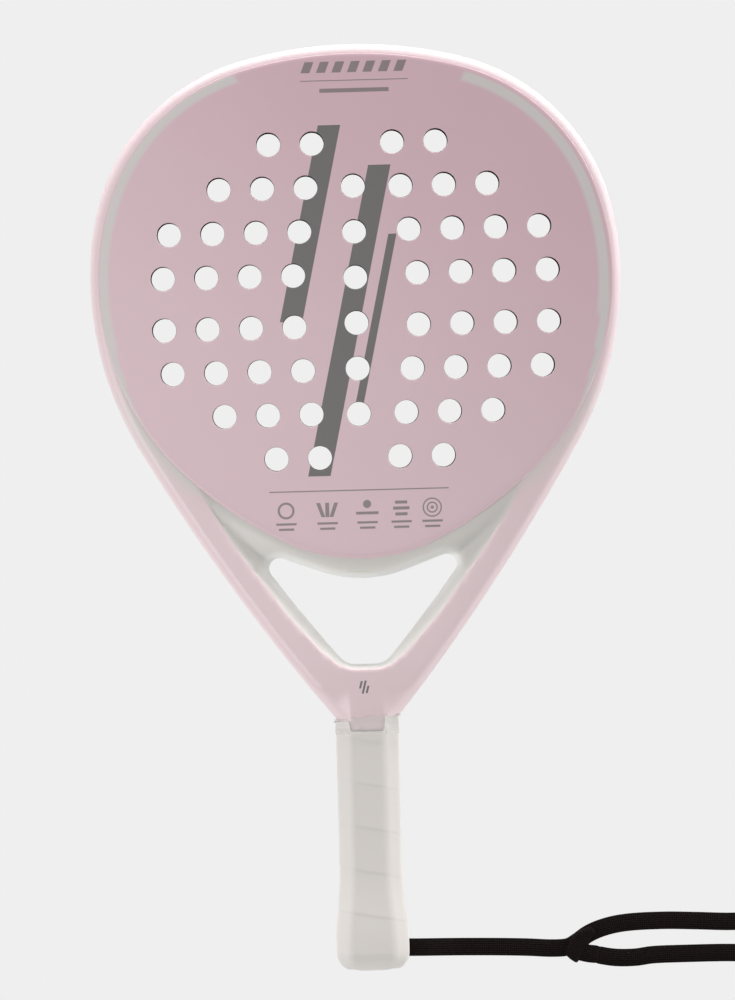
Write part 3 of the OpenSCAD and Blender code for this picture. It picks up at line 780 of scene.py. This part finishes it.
def foam_finish(name, colour, size, bump):
    """Closed-cell foam: small round pores of uneven size."""
    material, _, _ = new_material(name)
    tree = material.node_tree
    pores = put(tree.nodes, "TexVoronoi", feature="F1")
    pores.inputs["Scale"].default_value = size
    tree.links.new(place_m(tree), pores.inputs["Vector"])
    grain = use(tree, GRAIN, Place=place_m(tree), Size=size * 2, Colour=colour, Roughness=0.9, Drift=0.2)
    # Darker at each pore's middle: painted shade in the pores.
    shade = calculate(tree, "MULTIPLY_ADD", pores.outputs["Distance"], 0.5, 0.65, clamp=True)
    tone = blend_colours(tree, shade, tuple(0.6 * v for v in colour[:3]) + (1,), grain.outputs["Colour"])
    return finish_with(material, tone, grain.outputs["Roughness"], pores.outputs["Distance"], bump,
                       Specular_IOR_Level=0.0)


def cord_finish():
    """Black knitted braid."""
    material, _, _ = new_material("black_braid")
    tree = material.node_tree
    grid = put(tree.nodes, "UVMap", uv_map="braid")
    split = put(tree.nodes, "SeparateXYZ")
    tree.links.new(grid.outputs["UV"], split.inputs[0])
    braid = use(tree, BRAID, Run=split.outputs["X"], Across=split.outputs["Y"])
    # Painted shade between the stitches and a painted highlight on their tops.
    tone = blend_colours(tree, braid.outputs["Shade"], rgb(0, 0, 0), rgb(41, 33, 32))
    rough = calculate(tree, "MULTIPLY_ADD", braid.outputs["Height"], -0.15, 0.8)
    return finish_with(material, tone, rough, braid.outputs["Height"], 0.2,
                       Specular_IOR_Level=0.05)


def wrap_finish(name, colour, roughness, size, bump):
    """Soft synthetic skin: tiny pebbled grain with a faint sheen."""
    material, _, _ = new_material(name)
    tree = material.node_tree
    pebbles = put(tree.nodes, "TexVoronoi", feature="SMOOTH_F1")
    pebbles.inputs["Scale"].default_value = size
    tree.links.new(place_m(tree), pebbles.inputs["Vector"])
    grain = use(tree, GRAIN, Place=place_m(tree), Size=size / 3, Colour=colour, Roughness=roughness,
                Drift=0.035)
    height = calculate(tree, "MULTIPLY_ADD", pebbles.outputs["Distance"], 0.6, grain.outputs["Height"])
    return finish_with(material, grain.outputs["Colour"], grain.outputs["Roughness"], height, bump,
                       Sheen_Weight=0.1, Sheen_Roughness=0.5)


# ---- head and throat -----------------------------------------------------------------------------

EDGE_ROWS = (0.17, 0.67, 1.46, 2.5, 3.7, 5.0)


def make_body():
    """The lacquered frame and the yoke above the throat, cut from one smooth surface along the crease."""
    step_lines = [closed(FACE), closed(moved_in(FACE, 0.4)), closed(moved_in(FACE, 0.6))]
    ridge_ys = np.arange(RIDGE_TOP_Y + 4, GRIP_TOP_Y - 2, -1.6)
    ridges = [np.array([(side * (RIDGE_X + off), y) for y in ridge_ys])
              for side in (-1, 1) for off in (-0.6, 0.0, 0.6)]
    cut = curve_through([(55.6, -27), (52.5, -30), (49, -31.2), (44, -31)], 0.8)
    points, triangles = plan(OUTER, [FACE_LAP, THROAT], EDGE_ROWS, (0.2, 0.7, 1.5, 2.6, 4, 5.6), 1.8,
                             lines=[*step_lines, CREASE_LOOP, cut, cut * (-1, 1), *ridges])
    top, d_face, in_grey = body_heights(points)
    centre = points[triangles].mean(1)
    half_seam = np.vstack([[(92, 30)], CREASE[CREASE[:, 1] > -27], cut])
    yoke_loop = np.vstack([half_seam, half_seam[::-1] * (-1, 1)])
    in_yoke = inside(centre, yoke_loop)
    grey = inside(centre, CREASE_LOOP) & ~inside(centre, FACE)
    every = facing(*slab(points, triangles, top, 2 * MID_Z - top, rows=5)[:2])
    used = np.unique(triangles)
    n = len(used)
    front_normal = np.zeros((len(points), 3))
    rear_normal = np.zeros((len(points), 3))
    front_normal[used], rear_normal[used] = every[:n], every[n:2 * n]
    pink, grey_paint = frame_lacquer(), grey_lacquer()
    for name, part, slot, replaced in (("frame_laminate", ~in_yoke, "frame", ("frame_tube", "neck_wedge")),
                                       ("throat_yoke", in_yoke, "bridge", ("throat_bridge",))):
        verts, faces, origin = slab(points, triangles[part], top, 2 * MID_Z - top, rows=5)
        front = slice(0, len(np.unique(triangles[part])))
        rear = slice(front.stop, 2 * front.stop)
        normals = unit(front_normal[origin] + rear_normal[origin])
        normals[front] = front_normal[origin[front]]
        normals[rear] = rear_normal[origin[rear]]
        obj = piece(name, verts, faces, [pink, grey_paint], replaced, normals=normals)
        spot = verts[:, :2]
        walls = spot[np.array(faces[2 * int(part.sum()):])].mean(1)
        paint = np.concatenate([grey[part], grey[part], distance(walls, [THROAT]) < 0.05])
        obj.data.polygons.foreach_set("material_index", paint.astype(np.int32))
        near = distance(spot, [FACE])
        y = verts[:, 1] - MIDDLE_Y
        fade = np.exp(-(near / 5) ** 2) * smooth(-35, -62, y) * smooth(-100, -88, y)
        fade *= np.where(verts[:, 0] > 0, 0.55, 0.9) * (verts[:, 2] > TUBE_H)
        store(obj, "fade", fade)
        # Whiter towards the throat's edge, less so at its foot: a painted highlight on the rounded edge, for
        # light from below.
        painted_highlight = smooth(4.6, 0.6, distance(spot, [THROAT])) * mix(0.15, 1, smooth(-58, -34, verts[:, 1]))
        store(obj, "painted_highlight", painted_highlight)


def make_bladder():
    """The nylon tube that stays inside the laminate, kept 1.5 mm or more under its front and rear."""
    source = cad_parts["frame_bladder"]
    points = np.array([tuple(source.matrix_world @ v.co) for v in source.data.vertices]) / MM
    room = np.maximum(body_heights(points[:, :2])[0] - MID_Z - 1.5, 1.5)
    room -= 3.5 * smooth(9, 3, distance(points[:, :2], [THROAT]))
    points[:, 2] = MID_Z + np.clip(points[:, 2] - MID_Z, -room, room)
    film = grained("clear_nylon_bladder", rgb(196, 212, 220), 0.3, 800.0, 0.03, 0.05, Alpha=0.6)
    piece("bladder_film", points, [tuple(f.vertices) for f in source.data.polygons], [film],
          ("frame_bladder",))


HOLE_R = 6.0


def hole_centres():
    """The hole pattern: four rows above and four below the middle, on each side, and a centre column."""
    out = []
    for row in range(4):
        for up in (-1, 1):
            for side in (-1, 1):
                for k in range(4 - max(0, row - 1)):
                    out.append((side * (30.5 - 3.6 * row + 21.3 * k), MIDDLE_Y + up * (12.65 + 21.5 * row)))
    out += [(0, MIDDLE_Y + up * (k + 0.5) * 22.4) for k in range(3) for up in (-1, 1)]
    return out


def circle(centre, radius, count):
    a = np.arange(count) * 2 * math.pi / count
    return np.stack([centre[0] + radius * np.cos(a), centre[1] + radius * np.sin(a)], 1)


def make_faces_and_core():
    """Both faces with rounded edges and softened holes, and the foam core whose walls show in the holes."""
    holes = [circle(c, HOLE_R, 48) for c in hole_centres()]
    points, triangles = plan(FACE, holes, (0.15, 0.5, 1.0, 1.7, 2.6, 4.2, 6.0, 8.0), (0.1, 0.3), 5.0,
                             grid_gap=1)
    d_edge = distance(points, [FACE])
    d_hole = distance(points, holes)
    x, y = points[:, 0], points[:, 1] - MIDDLE_Y
    soft_edge = mix(1.6, 3.4, smooth(20, -60, y))
    drop = 0.85 - RIM_RISE * smooth(-60, 20, y)
    outside = TOP_Z - rounded(d_edge, soft_edge, drop) - rounded(d_hole, 0.3, 0.25)
    hidden = np.full(len(points), FACE_LOW[2])
    inset = np.where(x < 0, 0.7, 1.9)
    width = mix(1.2, 4.9, smooth(-62, 0, y))
    inset = mix(0.1, inset, smooth(-60, 20, y))
    band = smooth(inset - 0.3, inset + 0.3, d_edge) * smooth(inset + width + 0.3, inset + width - 0.3, d_edge)
    around = np.degrees(np.arctan2(np.abs(x), y))
    stripe = band * smooth(26.6, 27.4, around) * smooth(-66, -40, y)
    for name, top, bottom, slot_node, marked in (
            ("front_skin", outside, hidden, "front_face", True),
            ("rear_skin", 2 * MID_Z - hidden, 2 * MID_Z - outside, "rear_face", False)):
        verts, faces, origin = slab(points, triangles, top, bottom)
        lacquer = face_lacquer("pink_" + name + "_lacquer", marked)
        obj = piece(name, verts, faces, [lacquer], (slot_node,), normals=facing(verts, faces))
        store(obj, "stripe", stripe[origin])
        # Deeper towards the upper right: painted shade for the face's less lit side.
        store(obj, "tone", smooth(-60, 110, 0.45 * verts[:, 0] + 0.85 * (verts[:, 1] - MIDDLE_Y)))
    core_low, core_high = box_mm("core_foam")
    wells = [circle(c, HOLE_R - 0.1, 48) for c in hole_centres()]
    points, triangles = plan(face_outline(10.1), wells, (0.5,), (0.1,), 6.0)
    level = np.ones(len(points))
    verts, faces, _ = slab(points, triangles, level * core_high[2], level * core_low[2], rows=8)
    piece("core_block", verts, faces, [foam_finish("black_core_foam", rgb(9, 6, 6), 1400.0, 0.15)],
          ("core_foam",))


# ---- handle --------------------------------------------------------------------------------------

CORNER_POINTS = 7
SIDE_POINTS = 7
# Radius of the butt's rounded end.
END_R = 9


def octagon(a, b, c, soften):
    """Points around an octagon with rounded edges: half width a, half depth b, slanting edges c wide."""
    quarter = np.array([(a - c, b), (a, b - c)], float)
    corners = np.vstack([quarter, quarter[::-1] * (1, -1), -quarter, quarter[::-1] * (-1, 1)])

    def toward(p, q):
        return p + (q - p) * min(soften / np.linalg.norm(q - p), 0.42)

    bend = np.linspace(0, 1, CORNER_POINTS)[:, None]
    flat = np.linspace(0, 1, SIDE_POINTS + 2)[1:-1, None]
    out = []
    for i, p in enumerate(corners):
        before, after = corners[i - 1], corners[(i + 1) % 8]
        start, end = toward(p, before), toward(p, after)
        out += (start * (1 - bend) ** 2 + 2 * p * bend * (1 - bend) + end * bend ** 2).tolist()
        out += (end * (1 - flat) + toward(after, p) * flat).tolist()
    return np.array(out)


def swell(y):
    """How far the grip stands out at y: a little where the wraps start, and more at the butt."""
    top = 0.35 * smooth(GRIP_TOP_Y - 8, GRIP_TOP_Y, y)
    return top + 2.5 * smooth(BUTT_Y + 49, BUTT_Y + 13, y)


def end_pull(y):
    """How far the butt's rounded end has pulled in at y."""
    reach = np.clip(BUTT_Y + END_R - y, 0, END_R)
    return END_R - np.sqrt(END_R ** 2 - reach ** 2)


def grip_ring(y, t):
    """A ring of the wrapped handle at y, "t" outside the bare handle."""
    out = t - end_pull(y)
    flare = swell(y)
    return octagon(HANDLE_A + out + flare, HANDLE_B + out + 0.6 * flare, max(5.4 + 0.586 * out, 0.6), 2.6)


def neck_ring(y, t):
    """A ring around the frame's neck at y, "t" outside it."""
    fillet = max(y - NECK_Y, 0)
    a = max(HANDLE_A + NECK_R - math.sqrt(NECK_R ** 2 - min(fillet, 9) ** 2) + t, HANDLE_A + WRAP_T + 0.2)
    return octagon(a, float(half_depth(max(y, GRIP_TOP_Y + 0.1))) + t, a - RIDGE_X - 0.4 * t, 1.8)


def over_the_step(ys, grip, neck):
    """Blends a ring on the grip into a ring on the neck where the wraps end, point by point."""
    return mix(grip, neck, smooth(GRIP_TOP_Y - 1.0, GRIP_TOP_Y + 6.0, ys)[:, None])


def tube_faces(rows, count, closed_ends=False):
    """Faces between rings of "count" points; the last ring joins the first, or both ends are closed."""
    faces = []
    for r in range(rows - 1 if closed_ends else rows):
        for k in range(count):
            a, b = r * count + k, r * count + (k + 1) % count
            on = count if r < rows - 1 else -r * count
            faces.append((a, b, b + on, a + on))
    if closed_ends:
        faces.append(tuple(range(count - 1, -1, -1)))
        faces.append(tuple((rows - 1) * count + k for k in range(count)))
    return faces


PITCH = 21.5
END_BARE = 0.9
# Length of the grip's upper end, where its edge steps round the neck's ridges.
EDGE_RUN = 9


def make_grip():
    """The overgrip: a wound band whose turns overlap a little, closing over the butt's rounded end."""
    edge = np.linspace(1, 0, 14) * EDGE_RUN + GRIP_TOP_Y - EDGE_RUN
    turns = np.arange(GRIP_TOP_Y - EDGE_RUN - 0.6, BUTT_Y + END_R, -0.6)
    ends = BUTT_Y + END_R - (END_R - END_BARE) * np.sin(np.linspace(0, math.pi / 2, 16)[1:])
    ys = np.concatenate([edge, turns, ends])
    outer, inner = [], []
    for y in ys:
        ring = grip_ring(y, WRAP_T)
        angle = np.arctan2(ring[:, 1], ring[:, 0]) / (2 * math.pi)
        turn = (y - BUTT_Y) / PITCH - angle
        turn = turn - np.floor(turn)
        lip = 0.16 * np.exp(-turn / 0.3) * smooth(0, 0.02, turn) * smooth(BUTT_Y + 2, BUTT_Y + 10, y)
        out = unit(ring) * lip[:, None]
        rise = smooth(GRIP_TOP_Y - EDGE_RUN, GRIP_TOP_Y, y) * (6.2 + 0.09 * ring[:, 0])
        rise *= np.where(ring[:, 1] > 0, smooth(RIDGE_X, RIDGE_X + 1.2, np.abs(ring[:, 0])), 1.0)
        at = y + rise
        for rows_of, t, skin in ((outer, WRAP_T, 0.5), (inner, WRAP_T - 0.6, 0.05)):
            ring = grip_ring(y, t) + (out if t == WRAP_T else 0)
            top = float(at.max())
            if top > GRIP_TOP_Y - 1.0:
                ring = over_the_step(at, ring, neck_ring(top, skin))
            rows_of.append(np.column_stack([ring[:, 0], at, MID_Z + ring[:, 1]]))
    faces = tube_faces(2 * len(ys), len(outer[0]))
    finish = wrap_finish("white_overgrip", rgb(224, 219, 214), 0.62, 2600.0, 0.03)
    cut_slot(piece("overgrip_wrap", np.vstack(outer + inner[::-1]), faces, [finish], ("overgrip",)))


def cut_slot(obj):
    """Opens the slot that the cord comes out of, in the flank near the butt."""
    y, z, half_w, half_h = -217, 9.5, 4.9, 1.9
    shape = []
    for a in np.linspace(0, 2 * math.pi, 25)[:-1]:
        end = math.copysign(half_w - half_h, math.cos(a)) if abs(math.cos(a)) > 1e-6 else 0
        shape.append((end + half_h * math.cos(a), half_h * math.sin(a)))
    verts = [(x * MM, (y + u) * MM, (z + v) * MM) for x in (9, 24) for u, v in shape]
    n = len(shape)
    faces = [(k, (k + 1) % n, n + (k + 1) % n, n + k) for k in range(n)]
    faces += [tuple(range(n - 1, -1, -1)), tuple(range(n, 2 * n))]
    mesh = bpy.data.meshes.new("slot_cutter")
    mesh.from_pydata(verts, [], faces)
    cutter = add_object("slot_cutter", mesh)
    cut = obj.modifiers.new("slot", "BOOLEAN")
    cut.operation, cut.solver, cut.object = "DIFFERENCE", "EXACT", cutter
    bpy.context.view_layer.update()
    made = bpy.data.meshes.new_from_object(obj.evaluated_get(bpy.context.evaluated_depsgraph_get()))
    obj.modifiers.clear()
    obj.data = made
    bpy.data.objects.remove(cutter)


def make_tape():
    """Clear tape over the grip's upper end; its upper edge runs at a slant and closes onto the neck."""
    outer, inner = [], []
    ts = np.linspace(0, 1, 24)
    for t in ts:
        y = GRIP_TOP_Y - 1.2 + t * 8.7
        skin = 0.04 + 0.1 * math.sin(math.pi * t) ** 0.5 if 0 < t < 1 else 0.045
        for rows_of, gap in ((outer, skin), (inner, 0.03)):
            grip = grip_ring(min(y, GRIP_TOP_Y), WRAP_T + gap)
            neck = neck_ring(max(y, GRIP_TOP_Y), 0.55 + gap)
            x = grip[:, 0]
            slant = t * (0.1 * x + 0.22 * np.sin(x * 0.7 + 1) + 0.1 * np.sin(x * 2.1))
            ring = over_the_step(np.full(len(grip), y), grip, neck)
            rows_of.append(np.column_stack([ring[:, 0], y + slant, MID_Z + ring[:, 1]]))
    faces = tube_faces(2 * len(ts), len(outer[0]))
    film = grained("clear_finishing_tape", rgb(240, 240, 238), 0.25, 420.0, 0.08, 0.02, Alpha=0.2,
                   Coat_Weight=0.3, Coat_Roughness=0.1)
    piece("finishing_film", np.vstack(outer[::-1] + inner), faces, [film], ("finishing_tape",))


# ---- wrist cord ----------------------------------------------------------------------------------

CORD_W = 8.7
CORD_T = 2.8
# Middle of the cord: from the stopper knot inside the cap, out of the slot and down to the surface,
# along it to the hitch, round the loop and back to the hitch.
CORD_ROUTE = [
    (0.007, -0.217, 0.0095), (0.013, -0.217, 0.0095), (0.019, -0.2172, 0.0092), (0.026, -0.2174, 0.0074),
    (0.033, -0.2176, 0.0044), (0.040, -0.2178, 0.0021), (0.048, -0.218, 0.0014), (0.062, -0.2184, 0.0014),
    (0.076, -0.219, 0.0014), (0.088, -0.2198, 0.0014), (0.096, -0.2194, 0.0014), (0.101, -0.2168, 0.0014),
    (0.106, -0.2134, 0.0014), (0.112, -0.2108, 0.0014), (0.120, -0.2088, 0.0014), (0.130, -0.2078, 0.0014),
    (0.145, -0.2076, 0.0014), (0.160, -0.2082, 0.0014), (0.177, -0.209, 0.0014), (0.192, -0.2084, 0.0014),
    (0.206, -0.2052, 0.0014), (0.218, -0.201, 0.0014), (0.229, -0.1986, 0.0014), (0.240, -0.2004, 0.0014),
    (0.248, -0.2064, 0.0014), (0.252, -0.215, 0.0014), (0.250, -0.2244, 0.0014), (0.243, -0.2314, 0.0014),
    (0.233, -0.2344, 0.0014), (0.222, -0.2334, 0.0014), (0.209, -0.2296, 0.0014), (0.194, -0.226, 0.0014),
    (0.177, -0.2244, 0.0014), (0.152, -0.2242, 0.0014), (0.138, -0.2244, 0.0014), (0.129, -0.2254, 0.0014),
    (0.119, -0.2252, 0.0014), (0.109, -0.2234, 0.0014)]
RIBS = 9
CORD_AROUND = 56


def corner_points(obj):
    """The vertex at each corner of each face."""
    index = np.empty(len(obj.data.loops), np.int64)
    obj.data.loops.foreach_get("vertex_index", index)
    return index


def store_braid(obj, spot):
    """Keeps, for each face corner, how far it is along the braid and across it, in millimetres."""
    layer = obj.data.uv_layers.new(name="braid")
    layer.data.foreach_set("uv", spot.astype(np.float32).ravel())


def flat_cord(name, route, width, thickness, finish, replaced):
    """A flat ribbed cord along a route in millimetres, with rounded sides and closed ends."""
    centres = curve_through(route, 0.9)
    ahead = unit(np.gradient(centres, axis=0))
    side = unit(np.column_stack([ahead[:, 1], -ahead[:, 0], np.zeros(len(ahead))]))
    up = unit(np.cross(side, ahead))
    up[up[:, 2] < 0] *= -1
    a = np.arange(CORD_AROUND) * 2 * math.pi / CORD_AROUND
    cx = np.sign(np.cos(a)) * np.abs(np.cos(a)) ** 0.8
    sy = np.sign(np.sin(a)) * np.abs(np.sin(a)) ** 0.55
    rib = 0.95 + 0.05 * np.cos(cx * math.pi * RIBS)
    run = np.concatenate([[0], np.cumsum(np.linalg.norm(np.diff(centres, axis=0), axis=1))])
    rows = []
    for i, c in enumerate(centres):
        ends = min(1, 0.35 + 0.65 * math.sqrt(min(1, min(run[i], run[-1] - run[i]) / 2.5)))
        rows.append(c + side[i] * (cx * width / 2 * mix(1, ends, 0.35))[:, None]
                    + up[i] * (sy * rib * thickness / 2 * ends)[:, None])
    verts = np.vstack(rows)
    verts[:, 2] = np.maximum(verts[:, 2], 0)
    obj = piece(name, verts, tube_faces(len(rows), CORD_AROUND, True), [finish], replaced)
    girth = np.concatenate([[0], np.cumsum(np.hypot(np.diff(cx) * width / 2, np.diff(sy) * thickness / 2))])
    wrap = girth[-1] + abs(cx[0] - cx[-1]) * width / 2
    index = corner_points(obj)
    spot = np.column_stack([run[index // CORD_AROUND], girth[index % CORD_AROUND]])
    for polygon in obj.data.polygons:
        around = [index[k] % CORD_AROUND for k in polygon.loop_indices]
        if len(around) == 4 and 0 in around and CORD_AROUND - 1 in around:
            for k in polygon.loop_indices:
                if index[k] % CORD_AROUND == 0:
                    spot[k, 1] = wrap
    store_braid(obj, spot)
    return obj, centres


def fold_pad(finish):
    """The turn of the cord over itself at the hitch: a flat band that doubles back in a blunt point."""
    edge = curve_through([(107.6, -209.6), (101.9, -211.2), (98.0, -214.7), (95.6, -218.9), (94.6, -222.2),
                          (96.4, -224.9), (99.3, -227.0), (100.4, -227.1), (101.2, -226.2), (102.3, -223.9),
                          (104.4, -220.1), (107.5, -215.8), (110.0, -212.2), (107.6, -209.6)], 0.7)[:-1]
    points, triangles = plan(edge, [], (0.12, 0.4, 0.85, 1.5), (), 0.8)
    d = distance(points, [edge])
    top, bottom = 4.9 - rounded(d, 2.2, 2.4), 0.3 + rounded(d, 1.2, 1.2)
    verts, faces, _ = slab(points, triangles, top, bottom, rows=3)
    obj = piece("hitch_fold", verts, faces, [finish], ("cord_hitch",), normals=facing(verts, faces))
    x, y = verts[corner_points(obj), :2].T
    lean = math.radians(52)
    store_braid(obj, np.column_stack([x * math.cos(lean) + y * math.sin(lean),
                                      y * math.cos(lean) - x * math.sin(lean)]))
    return obj


def make_cord():
    """The wrist cord from the knot inside the cap, with its loop and the fold where the loop is tied."""
    finish = cord_finish()
    route = np.array(CORD_ROUTE) / MM
    cord, centres = flat_cord("wrist_braid", route, CORD_W, CORD_T, finish, ("wrist_cord",))
    under = [(112, -223.6, 1.5), (106, -222.9, 1.7), (100.5, -221.4, 2.2), (97.5, -220.4, 2.4)]
    tail, _ = flat_cord("hitch_tail", under, CORD_W + 0.1, CORD_T + 0.1, finish, ())
    hitch = fold_pad(finish)


# ---- what stays as the frame has it --------------------------------------------------------------

def dress(node, material):
    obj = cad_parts[node]
    obj.data.materials.clear()
    obj.data.materials.append(material)


def dress_hidden_pieces():
    cream = foam_finish("cream_filler_foam", rgb(226, 205, 150), 900.0, 0.12)
    dress("bridge_foam", cream)
    dress("handle_core", cream)
    tan = foam_finish("tan_pallet_foam", rgb(205, 172, 118), 1600.0, 0.06)
    dress("front_pallet", tan)
    dress("rear_pallet", tan)
    dress("grip_adhesive", grained("paper_backed_tape", rgb(228, 220, 192), 0.7, 2200.0, 0.02))
    dress("base_grip", wrap_finish("white_base_grip", rgb(232, 230, 226), 0.7, 1500.0, 0.06))
    dress("butt_cap", grained("white_moulded_cap", rgb(228, 226, 222), 0.45, 1500.0, 0.02, 0.03))
    wire = grained("bright_staple_wire", rgb(190, 190, 192), 0.3, 900.0, 0.01, 0.08, Metallic=1.0)
    dress("cap_staples", wire)
    dress("grip_staple", wire)
    dress("cord_stopper", grained("black_knot_braid", rgb(26, 22, 22), 0.8, 1400.0, 0.1, 0.2))


make_camera()
make_cord()
make_studio()
make_body()
make_bladder()
make_faces_and_core()
make_grip()
make_tape()
dress_hidden_pieces()
